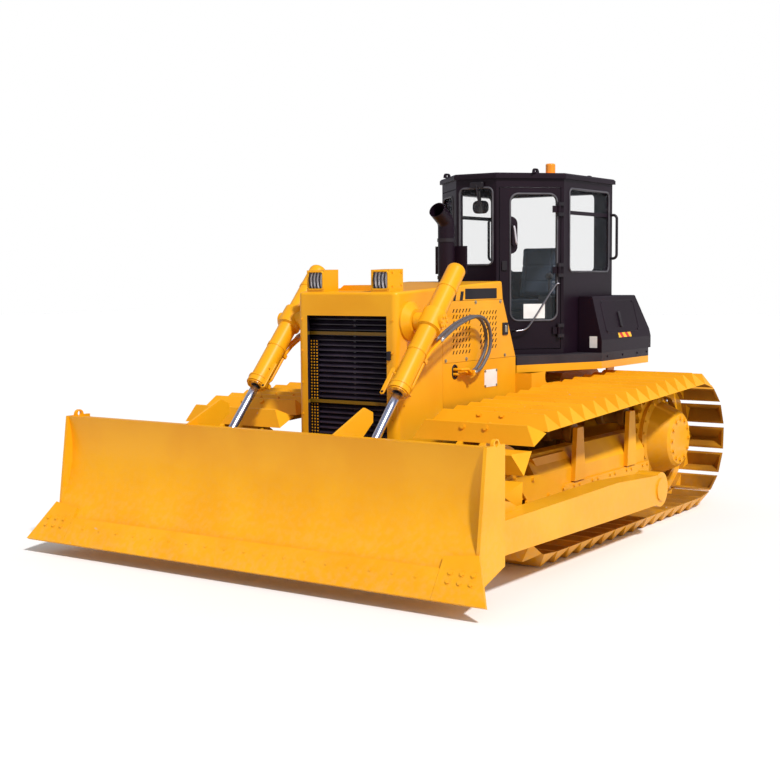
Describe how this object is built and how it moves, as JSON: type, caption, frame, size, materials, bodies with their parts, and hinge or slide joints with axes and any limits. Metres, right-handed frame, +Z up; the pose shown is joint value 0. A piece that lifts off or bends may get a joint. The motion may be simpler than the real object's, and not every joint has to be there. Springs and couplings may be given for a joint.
{
  "type": "crawler bulldozer",
  "caption": "Wide-track crawler bulldozer with a straight blade on outside push arms, two lift cylinders and an enclosed eight-sided cab with opening doors.",
  "frame": {"origin": "on the ground, under the middle of the machine's length and width, blade included", "axes": "+Z up, -Y forward to the blade, +X to the machine's left"},
  "size_m": [4.15, 5.28, 3.145],
  "materials": {
    "body_yellow": "warm yellow-orange machinery enamel, semi-gloss",
    "undercarriage_yellow": "the same enamel on the tracks and frames, duller",
    "cab_black": "black enamel, semi-gloss",
    "dark_steel": "matt black paint",
    "grille_black": "matt black louvres",
    "rod_chrome": "polished hard chrome",
    "window_glass": "clear tinted safety glass",
    "lamp_glass": "clear ribbed lens",
    "amber_plastic": "amber beacon",
    "seat_fabric": "dark blue-grey vinyl",
    "console_grey": "dark grey moulding",
    "hose_rubber": "black hose with a steel braid cover",
    "core_black": "matt black radiator core"
  },
  "bodies": {
    "chassis": {"beacon": "amber_plastic", "belly_guards": "body_yellow", "cab_body": "cab_black", "cab_deck": "cab_black", "cab_fittings": "dark_steel", "cab_glass": "window_glass", "cab_roof": "cab_black", "carrier_rollers": "undercarriage_yellow", "cylinder_brackets": "body_yellow", "deck_carriers": "body_yellow", "drawbar": "body_yellow", "engine_block": "dark_steel", "exhaust_stack": "cab_black", "fenders": "body_yellow", "final_drives": "body_yellow", "front_grille": "grille_black", "fuel_tank": "cab_black", "headlamps": "body_yellow", "hood_sides": "body_yellow", "hood_top": "body_yellow", "hose_manifolds": "body_yellow", "hull_sides": "body_yellow", "idlers": "undercarriage_yellow", "lamp_lenses": "lamp_glass", "lift_hoses_left": "hose_rubber", "lift_hoses_right": "hose_rubber", "main_frame": "body_yellow", "operator_station": "console_grey", "radiator_core": "core_black", "radiator_guard": "body_yellow", "rear_case": "body_yellow", "seat_cushions": "seat_fabric", "side_boxes": "cab_black", "sprockets": "undercarriage_yellow", "track_frames": "undercarriage_yellow", "track_left": "undercarriage_yellow", "track_right": "undercarriage_yellow", "track_rollers": "undercarriage_yellow"},
    "blade": {"blade": "body_yellow", "cutting_edges": "body_yellow", "push_arms": "body_yellow"},
    "lift_barrel_left": {"lift_barrel_left": "body_yellow"},
    "lift_barrel_right": {"lift_barrel_right": "body_yellow"},
    "lift_rod_left": {"lift_rod_left": "rod_chrome"},
    "lift_rod_right": {"lift_rod_right": "rod_chrome"},
    "cab_door_left": {"cab_door_left": "cab_black", "door_glass_left": "window_glass"},
    "cab_door_right": {"cab_door_right": "cab_black", "door_glass_right": "window_glass"}
  },
  "joints": [
    {"name": "blade_lift", "type": "hinge", "parent": "chassis", "child": "blade", "pos_m": [0, 0.5, 0.4], "axis": [-1, 0, 0], "range_deg": [-10.9, 18]},
    {"name": "swing_left", "type": "hinge", "parent": "chassis", "child": "lift_barrel_left", "pos_m": [0.673, -1.032, 1.79], "axis": [-1, 0, 0], "range_deg": [-12.21, 20.17], "deforming": ["lift_hoses_left"]},
    {"name": "rod_left", "type": "slide", "parent": "lift_barrel_left", "child": "lift_rod_left", "axis": [0, 0.6781, 0.735], "range_m": [-0.3843, 0.6347]},
    {"name": "swing_right", "type": "hinge", "parent": "chassis", "child": "lift_barrel_right", "pos_m": [-0.673, -1.032, 1.79], "axis": [-1, 0, 0], "range_deg": [-12.21, 20.17], "deforming": ["lift_hoses_right"]},
    {"name": "rod_right", "type": "slide", "parent": "lift_barrel_right", "child": "lift_rod_right", "axis": [0, 0.6781, 0.735], "range_m": [-0.3843, 0.6347]},
    {"name": "door_left", "type": "hinge", "parent": "chassis", "child": "cab_door_left", "pos_m": [0.6177, 1.1705, 2.18], "axis": [0, 0, 1], "range_deg": [0, 110]},
    {"name": "door_right", "type": "hinge", "parent": "chassis", "child": "cab_door_right", "pos_m": [-0.6177, 1.1705, 2.18], "axis": [0, 0, -1], "range_deg": [0, 110]}
  ],
  "couplings": [
    {"joint": "swing_left", "follows": "blade_lift", "ratio": 1.12},
    {"joint": "rod_left", "follows": "blade_lift", "m_per_rad": 2.02},
    {"joint": "swing_right", "follows": "blade_lift", "ratio": 1.12},
    {"joint": "rod_right", "follows": "blade_lift", "m_per_rad": 2.02}
  ]
}
